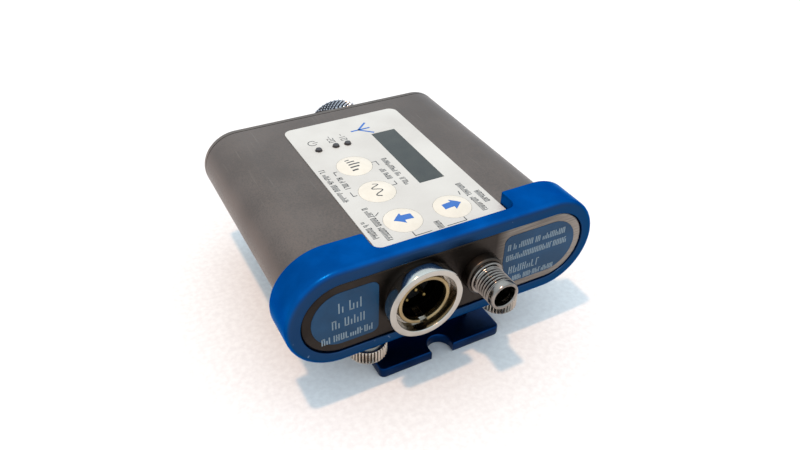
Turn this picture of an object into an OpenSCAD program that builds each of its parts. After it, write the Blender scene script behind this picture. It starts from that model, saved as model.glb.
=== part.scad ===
// Wireless bodypack transmitter: a flat metal case with a cell tube along each side, a keypad on
// top, a connector panel in front and a battery door behind, held in a collar with a foot bracket.
// While it is drawn, Y = 0 is the panel's face and Z = 0 is the middle of the case's thickness.

/* [Case] */
// Width of the case across its two round sides
case_w = 62.9; // [62:0.1:80]
// Thickness of the case, which is also the diameter of its round sides
case_t = 16.3; // [16.2:0.1:20]
// Length from the panel's face to the outer face of the battery door
case_l = 60.6; // [60:0.1:74]
// Wall between a cell tube and the middle chamber
septum = 1.25; // [0.8:0.05:2]
// Wall above and below the middle chamber
chamber_wall = 1; // [0.8:0.05:1.2]
// Thickness of the wall that closes the middle chamber behind
rear_wall = 3.2; // [2:0.1:5]
// Thickness of the bulkhead in front of each cell tube
bulkhead = 1.2; // [0.8:0.1:2]
// Width of the shadow gap between the case and its battery door
parting = 0.2; // [0.1:0.05:0.4]

/* [Cells] */
// Diameter of a cell
cell_d = 14.3; // [13.5:0.1:14.4]
// Length of a cell over its terminal
cell_l = 50.5; // [48:0.1:50.6]
// Clearance round a cell in its tube
cell_fit = 0.3; // [0.2:0.05:0.5]

/* [Panel] */
// Thickness of the connector panel
panel_t = 1.6; // [1.2:0.1:2.4]
// Radius round the panel's front edge
panel_edge = 0.5; // [0.4:0.1:1.2]
// Width of the metal rim round the panel labels
label_rim = 1.9; // [1.3:0.05:3]
// Depth of the pockets for the panel labels
label_pocket = 0.15; // [0.1:0.05:0.4]

/* [Audio jack] */
// Place of the audio jack across the panel
audio_x = -7.8; // [-8.4:0.1:-7.8]
// Outer radius of the polished ring
ring_r = 7.78; // [7.2:0.02:8]
// Wall of the polished ring
ring_wall = 1.34; // [0.6:0.02:1.4]
// How far the ring stands out of the panel
ring_out = 3.8; // [3.4:0.1:7]
// Thickness of the ring's flange, from its front face
flange_ring_t = 2.6; // [1.6:0.1:3]
// Space between the ring and the contact shell in it
shell_gap = 0.94; // [0.5:0.02:1.4]
// Wall of the contact shell
shell_wall = 0.8; // [0.5:0.05:1.2]
// How far the shell stands out of the panel
shell_out = 2.7; // [2:0.1:4]
// Radius of a contact pin
pin_r = 0.5; // [0.3:0.05:0.6]

/* [Antenna jack] */
// Place of the antenna jack across the panel
antenna_x = 6.3; // [6:0.1:6.9]
// Radius of the jack's thread
thread_r = 3.175; // [2.6:0.005:3.5]
// How far the jack stands out of the panel
antenna_out = 8.65; // [7:0.05:12]
// Radius of the socket in the jack
socket_r = 2.35; // [1.8:0.05:2.5]

/* [Keypad] */
// Thickness of the keypad sheet
sheet_t = 0.55; // [0.45:0.05:0.8]
// Depth of the recess that the sheet lies in
sheet_recess = 0.35; // [0.2:0.05:0.4]
// Radius of the sheet's corners
sheet_corner = 2; // [1:0.1:3]
// Radius of a button
button_r = 3.92; // [3:0.02:4.4]
// Height of a button's dome above the sheet
button_rise = 0.6; // [0.4:0.05:1]
// Travel of a button
button_travel = 0.35; // [0.2:0.05:0.35]
// Radius of an indicator lamp
lamp_r = 0.8; // [0.6:0.05:1]

/* [Battery door] */
// Thickness of the battery door
door_t = 1.4; // [1.2:0.1:2.4]
// Radius round the door's outer edge
door_edge = 0.5; // [0.2:0.1:1]
// Place of the door's knob across the case
knob_x = 4.2; // [0:0.1:6]
// Radius of the knob
knob_r = 8; // [5:0.1:8.1]
// Height of the knob's head
knob_h = 4.6; // [3:0.1:8]
// Radius of the knob's threaded shank
shank_r = 2; // [1.5:0.1:2.5]

/* [Collar] */
// Wall of the collar round the case
collar_wall = 2.85; // [2.4:0.05:4]
// Depth of the collar along the case
collar_l = 8.6; // [8.4:0.1:12]
// Depth of the collar in front of the keypad
collar_lip = 3.2; // [2:0.1:4]
// How far the collar stands in front of the panel
collar_out = 0.3; // [0:0.1:1.5]
// Radius round the collar's front edge
collar_edge = 1.2; // [0.4:0.1:2]

/* [Foot bracket] */
// Width of the foot plate
foot_w = 29.2; // [24:0.1:36]
// Length of the foot plate
foot_l = 47; // [42:0.1:56]
// Thickness of the foot plate
foot_t = 2.5; // [1.6:0.1:4]
// Space between the foot plate and the flange above it
foot_gap = 7; // [6.2:0.1:12]
// Width of the slot in the foot plate
slot_w = 5.2; // [4.6:0.1:8]
// Depth of the slot from the front edge to its round end
slot_l = 3.9; // [3:0.1:5]
// Thickness of the flange under the collar
flange_t = 2; // [1.2:0.1:3]

/* [Thumbscrews] */
// Distance between the two thumbscrews
thumb_span = 32; // [30:0.1:40]
// Radius of a thumbscrew's head
thumb_r = 4.1; // [3.2:0.1:5]
// Height of a thumbscrew's head
thumb_h = 3.3; // [2:0.1:4.4]
// Radius of a thumbscrew's shank
thumb_shank_r = 1.5; // [1:0.1:2]

/* [Fits] */
// Radial clearance of a threaded shank in its hole
thread_fit = 0.05; // [0.02:0.01:0.1]
// Clearance round a piece that only passes through a hole
pass_fit = 0.2; // [0.1:0.05:0.4]
// Clearance round a button in the keypad sheet
button_fit = 0.05; // [0.05:0.01:0.2]
// Clearance round fixed pieces that are set into one another
seat_fit = 0.05; // [0.03:0.01:0.1]

/* [Hidden] */
$fn = 96;
// Cells and the case round them
shell_end = case_l - door_t;
tube_r = cell_d / 2 + cell_fit;
tube_x = (case_w - case_t) / 2;
cell_gap = 0.1;
cell_end = shell_end - cell_gap;
cell_front = cell_end - cell_l;
tube_front = 5;
chamber_w = 2 * (tube_x - tube_r - septum);
chamber_h = case_t - 2 * chamber_wall;
chamber_end = shell_end - rear_wall;
terminal_r = 2.6;
terminal_h = 1.4;
// Keypad: its sheet, window, buttons as [x, y] and lamps as [x, y]
top = case_t / 2;
sheet_bottom = top - sheet_recess;
sheet_top = sheet_bottom + sheet_t;
sheet_x = [-13.75, 15.31];
sheet_y = [collar_lip - collar_out + 0.4, 54.35];
window_x = [4.45, 10.46];
window_y = [21.59, 44.63];
window_ledge = 0.6;
audio_key = [-5, 33.7];
channel_key = [-5, 22.7];
down_key = [-5, 11.57];
up_key = [6.1, 11.3];
keys = [audio_key, channel_key, down_key, up_key];
lamps = [[-9.4, 43], [-5.16, 43.1], [-2.29, 43]];
button_stem_r = 1.2;
button_gap = 0.15;
keyboard_top = 4.2;
keyboard_t = 0.8;
switch_h = 1.5;
// Boards in the middle chamber
board_side = 0.4;
board_w = chamber_w - 2 * board_side;
keyboard_y = [8.2, 54];
mainboard_y = [8.6, 52];
mainboard_top = -2;
mainboard_t = 1;
// Connectors
shell_r = ring_r - ring_wall - shell_gap;
neck_r = ring_r - 1;
shell_in = 6.5;
insulator_face = 3.4;
pin_tip = 0.4;
pin_tail = 7.4;
pin_ring_r = 0.49 * shell_r;
panel_nut_t = 1.4;
left_label_x = [-case_w, -16];
right_label_x = [11.6, case_w];
label_corner = 1.6;
antenna_tail = 4.4;
antenna_face = 4.6;
antenna_base = 2.1;
antenna_base_r = 4.2;
shoulder_r = 3.67;
shoulder_out = 2.8;
// Battery door and its knob
washer_t = 0.5;
knob_back = case_l + washer_t + knob_h;
bush_r = 3;
bush_l = rear_wall + 1.8;
door_pocket = 0.8;
pad_w = 2 * tube_x + 9;
pad_h = 9;
strip_h = 7.4;
strip_t = 0.35;
// Collar, bracket and thumbscrews
collar_w = case_w + 2 * collar_wall;
collar_t = case_t + 2 * collar_wall;
collar_back = collar_l - collar_out;
notch_w = 2 * sheet_x[1] + 0.4;
notch_r = 2;
collar_bottom = -collar_t / 2;
flange_bottom = collar_bottom - flange_t;
plate_top = flange_bottom - foot_gap;
ground = plate_top - foot_t;
thumb_y = 5.1;
plate_y = 1.4;
flange_y = [2.3, 10.5];
flange_w = thumb_span + 10;
web_t = 3;
web_w = thumb_span - 2 * thumb_r - 3.8;
thumb_washer_r = 3.2;
// The part's own frame: origin under the middle of the whole, on the surface that it stands on
mid_y = (knob_back - antenna_out) / 2;

// Moves what is drawn from the drawing's frame to the part's own frame
module placed() translate([0, -mid_y, -ground]) children();

// Turns what is drawn upwards along +Z so that it runs along +Y
module along_y() rotate([-90, 0, 0]) children();

// Limits of a stretch that starts at a place, and of one that is centred there
function from(start, length) = [start, start + length];
function about(middle, half) = [middle - half, middle + half];

// Round bar along Y
module rod_y(r, y, x = 0, z = 0) {
    translate([x, y[0], z]) along_y() cylinder(r = r, h = y[1] - y[0]);
}

// Round tube along Y
module tube_y(r_out, r_in, y, x = 0, z = 0) {
    difference() {
        rod_y(r_out, y, x, z);
        rod_y(r_in, [y[0] - 1, y[1] + 1], x, z);
    }
}

// Hexagonal nut along Y with a round bore
module nut_y(r_out, r_in, y, x) {
    difference() {
        translate([x, y[0], 0]) along_y() cylinder(r = r_out, h = y[1] - y[0], $fn = 6);
        rod_y(r_in, [y[0] - 1, y[1] + 1], x);
    }
}

// Box from its limits along each axis
module block(x, y, z) {
    translate([x[0], y[0], z[0]]) cube([x[1] - x[0], y[1] - y[0], z[1] - z[0]]);
}

// Bar along Y whose section is a flat oblong with full round sides
module pill(w, t, y) {
    for (side = [-1, 1]) rod_y(t / 2, y, side * (w - t) / 2);
    block([-(w - t) / 2, (w - t) / 2], y, [-t / 2, t / 2]);
}

// Half section of a disc with a rounded lower edge
module edge_section(r, h, edge) {
    square([r - edge, h]);
    translate([0, edge]) square([r, h - edge]);
    translate([r - edge, edge]) intersection() {
        circle(edge);
        translate([0, -edge]) square(edge);
    }
}

// The same bar as pill, with its edge at the lower Y rounded
module soft_pill(w, t, y, edge) {
    depth = y[1] - y[0];
    translate([0, y[0], 0]) {
        for (side = [-1, 1]) translate([side * (w - t) / 2, 0, 0])
            along_y() rotate_extrude() edge_section(t / 2, depth, edge);
        rotate([0, -90, 0]) linear_extrude(w - t, center = true)
            for (side = [0, 1]) mirror([side, 0]) edge_section(t / 2, depth, edge);
    }
}

// Plate lying flat, with four round corners in plan
module corner_plate(x, y, z, r) {
    block([x[0] + r, x[1] - r], y, z);
    block(x, [y[0] + r, y[1] - r], z);
    for (cx = [x[0] + r, x[1] - r], cy = [y[0] + r, y[1] - r])
        translate([cx, cy, z[0]]) cylinder(r = r, h = z[1] - z[0]);
}

// Block along Y with four round edges, seen from the front
module label_block(x, y, z, r) {
    block([x[0] + r, x[1] - r], y, z);
    block(x, y, [z[0] + r, z[1] - r]);
    for (cx = [x[0] + r, x[1] - r], cz = [z[0] + r, z[1] - r]) rod_y(r, y, cx, cz);
}

// Outline of a panel label: the panel's own outline less its rim, cut off towards the middle
module label_shape(x, y, gap = 0) {
    half = case_t / 2 - label_rim - gap;
    intersection() {
        pill(case_w - 2 * (label_rim + gap), 2 * half, y);
        label_block([x[0] + gap, x[1] - gap], y, [-half, half], label_corner);
    }
}

module case_body() color("dimgray") placed() difference() {
    union() {
        pill(case_w, case_t, [panel_t, shell_end - parting]);
        pill(case_w - 2 * parting, case_t - 2 * parting, [shell_end - 1, shell_end]);
    }
    for (side = [-1, 1]) {
        rod_y(tube_r, [tube_front, shell_end + 1], side * tube_x);
        rod_y(tube_r, [panel_t - 1, tube_front - bulkhead], side * tube_x);
    }
    block([-chamber_w / 2, chamber_w / 2], [panel_t - 1, chamber_end], [-chamber_h / 2, chamber_h / 2]);
    rod_y(bush_r + seat_fit, [chamber_end - 1, shell_end + 1], knob_x);
    corner_plate(sheet_x + [-seat_fit, seat_fit], sheet_y + [-seat_fit, seat_fit],
        [sheet_bottom, top + 1], sheet_corner);
    block(window_x + [window_ledge, -window_ledge], window_y + [window_ledge, -window_ledge], [0, top]);
    for (key = keys) translate([key[0], key[1], 0]) cylinder(r = button_stem_r + pass_fit, h = top);
    for (lamp = lamps) translate([lamp[0], lamp[1], 0]) cylinder(r = lamp_r + seat_fit, h = top);
}

module front_panel() color("gray") placed() difference() {
    soft_pill(case_w, case_t, [0, panel_t], panel_edge);
    rod_y(shell_r + seat_fit, [-1, panel_t + 1], audio_x);
    rod_y(thread_r + seat_fit, [-1, panel_t + 1], antenna_x);
    label_shape(left_label_x, [-1, label_pocket]);
    label_shape(right_label_x, [-1, label_pocket]);
}

module panel_label_left() color("steelblue") placed()
    label_shape(left_label_x, [-0.05, label_pocket], seat_fit);

module panel_label_right() color("steelblue") placed()
    label_shape(right_label_x, [-0.05, label_pocket], seat_fit);

module keypad_sheet() color("white") placed() difference() {
    corner_plate(sheet_x, sheet_y, [sheet_bottom, sheet_top], sheet_corner);
    block(window_x, window_y, [0, top + 1]);
    for (key = keys) translate([key[0], key[1], 0]) cylinder(r = button_r + button_fit, h = top + 1);
    for (lamp = lamps) translate([lamp[0], lamp[1], 0]) cylinder(r = lamp_r + seat_fit, h = top + 1);
}

// Domed button on a stem, with a ring under the case's wall that keeps it in
module button(key) {
    dome_r = (button_r * button_r + button_rise * button_rise) / (2 * button_rise);
    cap_bottom = sheet_bottom + button_travel + 0.05;
    stem_bottom = keyboard_top + switch_h + 0.3 + button_travel + 0.05;
    placed() translate([key[0], key[1], 0]) {
        intersection() {
            translate([0, 0, cap_bottom]) cylinder(r = button_r, h = top);
            translate([0, 0, sheet_top + button_rise - dome_r]) sphere(r = dome_r);
        }
        translate([0, 0, stem_bottom]) cylinder(r = button_stem_r, h = cap_bottom - stem_bottom + 0.1);
        translate([0, 0, stem_bottom]) cylinder(r = button_stem_r + 2 * pass_fit, h = 0.2);
    }
}

module audio_button() color("ivory") button(audio_key);
module channel_button() color("ivory") button(channel_key);
module down_button() color("ivory") button(down_key);
module up_button() color("ivory") button(up_key);

module display_window() color("darkolivegreen") placed()
    block(window_x + [seat_fit, -seat_fit], window_y + [seat_fit, -seat_fit],
        [sheet_bottom, sheet_top - 0.05]);

module display_module() color("black") placed()
    block(window_x + [-1, 1], window_y + [-2, 2], [keyboard_top, keyboard_top + 2.6]);

// Lamp with a round top, standing on the keypad's board
module lamp(place) placed() translate([place[0], place[1], keyboard_top]) {
    cylinder(r = lamp_r, h = sheet_top - keyboard_top);
    translate([0, 0, sheet_top - keyboard_top]) intersection() {
        sphere(r = lamp_r);
        cylinder(r = lamp_r, h = lamp_r * 0.6);
    }
}

module power_lamp() color("maroon") lamp(lamps[0]);
module level_lamp_low() color("maroon") lamp(lamps[1]);
module level_lamp_high() color("maroon") lamp(lamps[2]);

module key_switches() color("black") placed() for (key = keys) {
    block(about(key[0], 2), about(key[1], 2), from(keyboard_top, switch_h));
    translate([key[0], key[1], keyboard_top]) cylinder(r = 0.9, h = switch_h + 0.3);
}

module keypad_board() color("darkgreen") placed()
    block([-board_w / 2, board_w / 2], keyboard_y, [keyboard_top - keyboard_t, keyboard_top]);

module main_board() color("darkgreen") placed()
    block([-board_w / 2, board_w / 2], mainboard_y, [mainboard_top - mainboard_t, mainboard_top]);

// Folded can over the radio stage, open towards the board
module shield_can() color("silver") placed() difference() {
    block([-11, 11], [27, 50], from(mainboard_top, 3.6));
    block([-10.7, 10.7], [27.3, 49.7], from(mainboard_top - 1, 4.3));
}

module board_header() color("black") placed()
    block([-12, -2], [16, 19], [mainboard_top, keyboard_top - keyboard_t]);

module board_chips() color("black") placed() {
    below = mainboard_top - mainboard_t;
    for (y = [13, 24, 35]) block([-10, -2], from(y, 7), [below - 1.2, below]);
    for (y = [12, 20, 28, 36, 44]) block([3, 8], from(y, 4), [below - 1.6, below]);
    block([4, 10], [12, 18], from(mainboard_top, 3));
}

// Cell in its tube, with its terminal at the front or at the back
module cell(x, terminal_in_front) placed() {
    can = terminal_in_front ? [cell_front + terminal_h, cell_end] : [cell_front, cell_end - terminal_h];
    rod_y(cell_d / 2, can, x);
    rod_y(terminal_r, [cell_front, cell_end], x);
}

module battery_left() color("goldenrod") cell(-tube_x, false);
module battery_right() color("goldenrod") cell(tube_x, true);

// Coned spring in front of each cell
module battery_springs() color("silver") placed() {
    wire = 0.4;
    turns = 5;
    step = (cell_front - tube_front - 2 * wire) / (turns - 1);
    for (side = [-1, 1]) translate([side * tube_x, tube_front, 0]) along_y() {
        for (turn = [0 : turns - 1]) translate([0, 0, wire + turn * step])
            rotate_extrude() translate([4.2 - 0.35 * turn, 0]) circle(wire);
        translate([0, 0, wire]) rotate_extrude() polygon([[2.8, 0.1], [4.2, -0.2], [4.2, 0.2],
            [2.8, (turns - 1) * step]]);
    }
}

module battery_door() color("gray") placed() difference() {
    translate([0, case_l + shell_end, 0]) mirror([0, 1, 0])
        soft_pill(case_w, case_t, [shell_end, case_l], door_edge);
    rod_y(shank_r + pass_fit, [shell_end - 1, case_l + 1], knob_x);
    label_block([-pad_w / 2, pad_w / 2], [shell_end - 1, shell_end + door_pocket],
        [-pad_h / 2, pad_h / 2], 2);
}

// Insulating pad set into the door, with a shallow bed for the contact
module door_insulator() color("black") placed() difference() {
    label_block([-pad_w / 2 + seat_fit, pad_w / 2 - seat_fit],
        [shell_end + 0.02, shell_end + door_pocket],
        [-pad_h / 2 + seat_fit, pad_h / 2 - seat_fit], 2);
    rod_y(shank_r + pass_fit, [shell_end - 1, case_l + 1], knob_x);
    label_block([-pad_w / 2 + 0.8, pad_w / 2 - 0.8], [shell_end - 1, shell_end + strip_t + 0.05],
        [-strip_h / 2, strip_h / 2], 1.5);
}

// Strip that joins the two cells end to end
module door_contact() color("khaki") placed() difference() {
    label_block([-pad_w / 2 + 0.8 + seat_fit, pad_w / 2 - 0.8 - seat_fit],
        [shell_end + 0.05, shell_end + strip_t + 0.05],
        [-strip_h / 2 + seat_fit, strip_h / 2 - seat_fit], 1.4);
    rod_y(shank_r + pass_fit + 0.5, [shell_end - 1, case_l + 1], knob_x);
}

// Knob's head with a chamfer round both ends, on its threaded shank
module door_knob() color("darkslategray") placed() translate([knob_x, 0, 0]) {
    bevel = 0.5;
    translate([0, case_l + washer_t, 0]) along_y() rotate_extrude()
        polygon([[0, 0], [knob_r - bevel, 0], [knob_r, bevel], [knob_r, knob_h - bevel],
            [knob_r - bevel, knob_h], [0, knob_h]]);
    rod_y(shank_r, [shell_end - bush_l + 0.2, case_l + washer_t + bevel]);
}

module door_washer() color("silver") placed()
    tube_y(shank_r + 2.5, shank_r + thread_fit, [case_l, case_l + washer_t], knob_x);

module door_bush() color("darkgoldenrod") placed()
    tube_y(bush_r, shank_r + thread_fit, [shell_end - bush_l, shell_end - 0.05], knob_x);

// Ring whose flange stands off the panel on a narrower neck
module audio_jack_ring() color("lightgray") placed() difference() {
    union() {
        rod_y(ring_r, from(-ring_out, flange_ring_t), audio_x);
        rod_y(neck_r, [-ring_out, 0], audio_x);
    }
    rod_y(ring_r - ring_wall, [-ring_out - 1, flange_ring_t - ring_out], audio_x);
    rod_y(shell_r + seat_fit, [-ring_out - 1, 1], audio_x);
}

// Shell with a key slot along its lowest line
module audio_jack_shell() color("silver") placed() difference() {
    tube_y(shell_r, shell_r - shell_wall, [-shell_out, shell_in], audio_x);
    block(about(audio_x, 0.8), [-shell_out - 1, 1], [-shell_r - 1, -shell_r / 2]);
}

module audio_jack_insulator() color("black") placed() difference() {
    rod_y(shell_r - shell_wall - seat_fit, [insulator_face, shell_in + 0.4], audio_x);
    for (place = pin_places()) rod_y(pin_r + 0.02, [0, shell_in + 1], place[0], place[1]);
}

// Centre pin and four pins round it
function pin_places() = concat([[audio_x, 0]],
    [for (turn = [45 : 90 : 315]) [audio_x + pin_ring_r * cos(turn), pin_ring_r * sin(turn)]]);

module audio_jack_pins() color("gold") placed() for (place = pin_places()) {
    rod_y(pin_r, [pin_tip + pin_r, pin_tail], place[0], place[1]);
    translate([place[0], pin_tip + pin_r, place[1]]) sphere(r = pin_r);
}

module audio_jack_nut() color("silver") placed()
    nut_y(shell_r + 1.1, shell_r + 0.02, from(panel_t, panel_nut_t), audio_x);

// Threaded barrel with a shoulder in front of the panel
module antenna_jack() color("silver") placed() difference() {
    union() {
        rod_y(thread_r, [-antenna_out, antenna_tail], antenna_x);
        rod_y(shoulder_r, [-shoulder_out, 0], antenna_x);
    }
    rod_y(socket_r, [-antenna_out - 1, antenna_tail - 1], antenna_x);
    rod_y(1, [0, antenna_tail + 1], antenna_x);
}

module antenna_base() color("silver") placed()
    tube_y(antenna_base_r, shoulder_r + 0.02, [-antenna_base, 0], antenna_x);

module antenna_insulator() color("white") placed()
    tube_y(socket_r - 0.02, 0.66, [antenna_face - antenna_out, antenna_tail - 1.02], antenna_x);

module antenna_contact() color("gold") placed() difference() {
    rod_y(0.64, [antenna_face - 1 - antenna_out, antenna_tail + 1.5], antenna_x);
    rod_y(0.45, [0, 3] + [1, 1] * (antenna_face - 2 - antenna_out), antenna_x);
}

module antenna_nut() color("silver") placed()
    nut_y(thread_r + 1.2, thread_r + 0.02, from(panel_t, panel_nut_t), antenna_x);

// Ring round the case's front end, with a notch behind its lip for the keypad
module mount_collar() color("royalblue") placed() difference() {
    soft_pill(collar_w, collar_t, [-collar_out, collar_back], collar_edge);
    pill(case_w + 2 * seat_fit, case_t + 2 * seat_fit, [-collar_out - 1, collar_back + 1]);
    corner_plate([-notch_w / 2, notch_w / 2], [collar_lip - collar_out, collar_back + 5],
        [0, collar_t], notch_r);
    for (side = [-1, 1]) translate([side * thumb_span / 2, thumb_y, -collar_t])
        cylinder(r = thumb_shank_r + thread_fit, h = collar_t);
}

// Flange under the collar, web down from it and foot plate with a slot in its front edge
module foot_bracket() color("midnightblue") placed() {
    bevel = 0.6;
    plate_x = foot_w / 2;
    slot_r = slot_w / 2;
    difference() {
        corner_plate([-flange_w / 2, flange_w / 2], flange_y, [flange_bottom, collar_bottom], 3);
        for (side = [-1, 1]) translate([side * thumb_span / 2, thumb_y, flange_bottom - 1])
            cylinder(r = thumb_shank_r + pass_fit, h = flange_t + 2);
    }
    block([-web_w / 2, web_w / 2], [flange_y[1] - web_t, flange_y[1]],
        [plate_top - 0.5, flange_bottom + 0.5]);
    difference() {
        corner_plate([-plate_x, plate_x], [plate_y, plate_y + foot_l], [ground, plate_top], 1.2);
        translate([0, plate_y, plate_top]) rotate([45, 0, 0])
            cube([foot_w + 2, 2 * bevel, bevel * sqrt(2)], center = true);
        translate([0, plate_y + slot_l - slot_r, ground - 1]) cylinder(r = slot_r, h = foot_t + 2);
        block([-slot_r, slot_r], [plate_y - 1, plate_y + slot_l - slot_r], [ground - 1, plate_top + 1]);
    }
}

// Head with a chamfer round both ends, on a shank that runs up through flange and collar
module thumbscrew(side) placed() translate([side * thumb_span / 2, thumb_y, 0]) {
    bevel = 0.4;
    head_top = flange_bottom - washer_t;
    translate([0, 0, head_top - thumb_h]) rotate_extrude() polygon([[0, 0], [thumb_r - bevel, 0],
        [thumb_r, bevel], [thumb_r, thumb_h - bevel], [thumb_r - bevel, thumb_h], [0, thumb_h]]);
    translate([0, 0, head_top - bevel])
        cylinder(r = thumb_shank_r, h = -case_t / 2 - 0.2 - head_top + bevel);
}

module thumb_washer(side) placed() translate([side * thumb_span / 2, thumb_y, flange_bottom - washer_t])
    difference() {
        cylinder(r = thumb_washer_r, h = washer_t);
        translate([0, 0, -1]) cylinder(r = thumb_shank_r + thread_fit, h = washer_t + 2);
    }

module thumbscrew_left() color("lightgray") thumbscrew(-1);
module thumbscrew_right() color("lightgray") thumbscrew(1);
module thumb_washer_left() color("silver") thumb_washer(-1);
module thumb_washer_right() color("silver") thumb_washer(1);

case_body();
front_panel();
panel_label_left();
panel_label_right();
keypad_sheet();
audio_button();
channel_button();
down_button();
up_button();
display_window();
display_module();
power_lamp();
level_lamp_low();
level_lamp_high();
key_switches();
keypad_board();
main_board();
shield_can();
board_header();
board_chips();
battery_left();
battery_right();
battery_springs();
battery_door();
door_insulator();
door_contact();
door_knob();
door_washer();
door_bush();
audio_jack_ring();
audio_jack_shell();
audio_jack_insulator();
audio_jack_pins();
audio_jack_nut();
antenna_jack();
antenna_base();
antenna_insulator();
antenna_contact();
antenna_nut();
mount_collar();
foot_bracket();
thumbscrew_left();
thumbscrew_right();
thumb_washer_left();
thumb_washer_right();
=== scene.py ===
"""A wireless bodypack transmitter in a blue collar with a foot bracket, on a pale table.

Millimetre sizes are those of the real object; MM turns them into the frame's metres.
"""

import bmesh
import bpy
import numpy as np
from mathutils import Matrix, Vector


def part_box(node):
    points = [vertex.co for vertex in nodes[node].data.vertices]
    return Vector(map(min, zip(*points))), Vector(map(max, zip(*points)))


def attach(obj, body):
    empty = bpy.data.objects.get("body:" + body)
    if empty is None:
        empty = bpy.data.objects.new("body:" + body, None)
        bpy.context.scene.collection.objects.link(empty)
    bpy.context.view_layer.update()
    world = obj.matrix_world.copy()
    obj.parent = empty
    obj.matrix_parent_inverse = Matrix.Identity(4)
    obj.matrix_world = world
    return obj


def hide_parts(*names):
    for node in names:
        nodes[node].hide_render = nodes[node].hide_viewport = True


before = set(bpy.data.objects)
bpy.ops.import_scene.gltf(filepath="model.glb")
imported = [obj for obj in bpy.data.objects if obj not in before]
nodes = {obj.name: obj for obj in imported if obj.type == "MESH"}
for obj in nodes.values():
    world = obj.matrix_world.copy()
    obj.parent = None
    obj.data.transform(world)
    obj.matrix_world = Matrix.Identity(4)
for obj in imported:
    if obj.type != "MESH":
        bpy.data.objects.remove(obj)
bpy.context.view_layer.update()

MM = 0.001


def low(node):
    """Lowest corner of a CAD node, in metres."""
    return np.array(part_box(node)[0])


def high(node):
    """Highest corner of a CAD node, in metres."""
    return np.array(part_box(node)[1])


def middle(node):
    """Middle of a CAD node's box, in metres."""
    return (low(node) + high(node)) / 2


# Case: two cell tubes and the chamber between them, extruded in one piece of aluminium.
# It is bead blasted and nickel plated, so it is a warm grey satin with faint handling marks.

def linear(code):
    """sRGB hex to linear: a channel up to 0.04045 is divided by 12.92, and a higher one becomes
    ((c + 0.055) / 1.055) ^ 2.4."""
    c = np.array([int(code[i:i + 2], 16) for i in (1, 3, 5)]) / 255
    return (*np.where(c <= 0.04045, c / 12.92, ((c + 0.055) / 1.055) ** 2.4), 1.0)


def add(tree, kind, sockets, **settings):
    """Adds a node to a shader tree, sets its properties, and gives its sockets their values or links."""
    node = tree.nodes.new("ShaderNode" + kind)
    for name, value in settings.items():
        setattr(node, name, value)
    for key, value in sockets.items():
        if isinstance(value, bpy.types.NodeSocket):
            tree.links.new(value, node.inputs[key])
        else:
            node.inputs[key].default_value = value
    return node


def begin(name):
    """A new material with an empty tree, and its Object coordinates."""
    material = bpy.data.materials.new(name)
    material.use_nodes = True
    material.node_tree.nodes.clear()
    return material, material.node_tree, add(material.node_tree, "TexCoord", {}).outputs["Object"]


def cover(material, *names):
    """Gives CAD nodes a material in place of their plain one."""
    for name in names:
        nodes[name].data.materials.clear()
        nodes[name].data.materials.append(material)


def metal(name, tones, rough, patch=9, grain=0.25, stretch=(1, 1, 1), relief=0.12, groove=None):
    """Metal that varies between two tones in patches, with a finer grain in its gloss and relief.
    Patch and grain are in millimetres, and stretch below 1 draws the grain out along that axis. A groove is
    (centre, axis, half length, full-shade distance, crest, hex): painted shade of that colour within the half
    length along the axis, full at the full-shade distance from the axis and gone at the crest distance."""
    material, tree, place = begin(name)
    cloud = add(tree, "TexNoise", {"Vector": place, "Scale": 1 / (patch * MM), "Detail": 4.0})
    along = add(tree, "Mapping", {"Vector": place, "Scale": stretch})
    fine = add(tree, "TexNoise", {"Vector": along.outputs[0], "Scale": 1 / (grain * MM), "Detail": 2.0})
    share = add(tree, "MapRange", {"Value": cloud.outputs[0], "From Min": 0.35, "From Max": 0.65})
    tone = add(tree, "Mix", {0: share.outputs[0], 6: linear(tones[0]), 7: linear(tones[1])}, data_type="RGBA")
    gloss = add(tree, "MapRange", {"Value": fine.outputs[0], "From Min": 0.3, "From Max": 0.7,
                                   "To Min": rough[0], "To Max": rough[1]})
    # painted shade in the grooves: darkest deep in them, gone on the crests
    if groove:
        centre, axis, half, deep_shade, crest, shade_hex = groove
        only = tuple(1.0 if i == axis else 0.0 for i in range(3))
        offset = add(tree, "VectorMath", {0: place, 1: tuple(centre)}, operation="SUBTRACT")
        across = add(tree, "VectorMath", {0: offset.outputs[0], 1: tuple(1 - i for i in only)},
                     operation="MULTIPLY")
        away = add(tree, "VectorMath", {0: across.outputs[0]}, operation="LENGTH")
        ahead = add(tree, "VectorMath", {0: offset.outputs[0], 1: only}, operation="MULTIPLY")
        ahead = add(tree, "VectorMath", {0: ahead.outputs[0]}, operation="LENGTH")
        crown = add(tree, "MapRange", {"Value": away.outputs["Value"], "From Min": deep_shade, "From Max": crest})
        past = add(tree, "MapRange", {"Value": ahead.outputs["Value"], "From Min": half,
                                      "From Max": half + 0.1 * MM})
        unshaded = add(tree, "Math", {0: crown.outputs[0], 1: past.outputs[0]}, operation="MAXIMUM")
        tone = add(tree, "Mix", {0: unshaded.outputs[0], 6: linear(shade_hex), 7: tone.outputs[2]}, data_type="RGBA")
    bump = add(tree, "Bump", {"Height": fine.outputs[0], "Strength": relief, "Distance": grain * MM / 4})
    shader = add(tree, "BsdfPrincipled", {"Base Color": tone.outputs[2], "Metallic": 1.0,
                                          "Roughness": gloss.outputs[0], "Normal": bump.outputs[0]})
    add(tree, "OutputMaterial", {"Surface": shader.outputs[0]})
    return material


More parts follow.
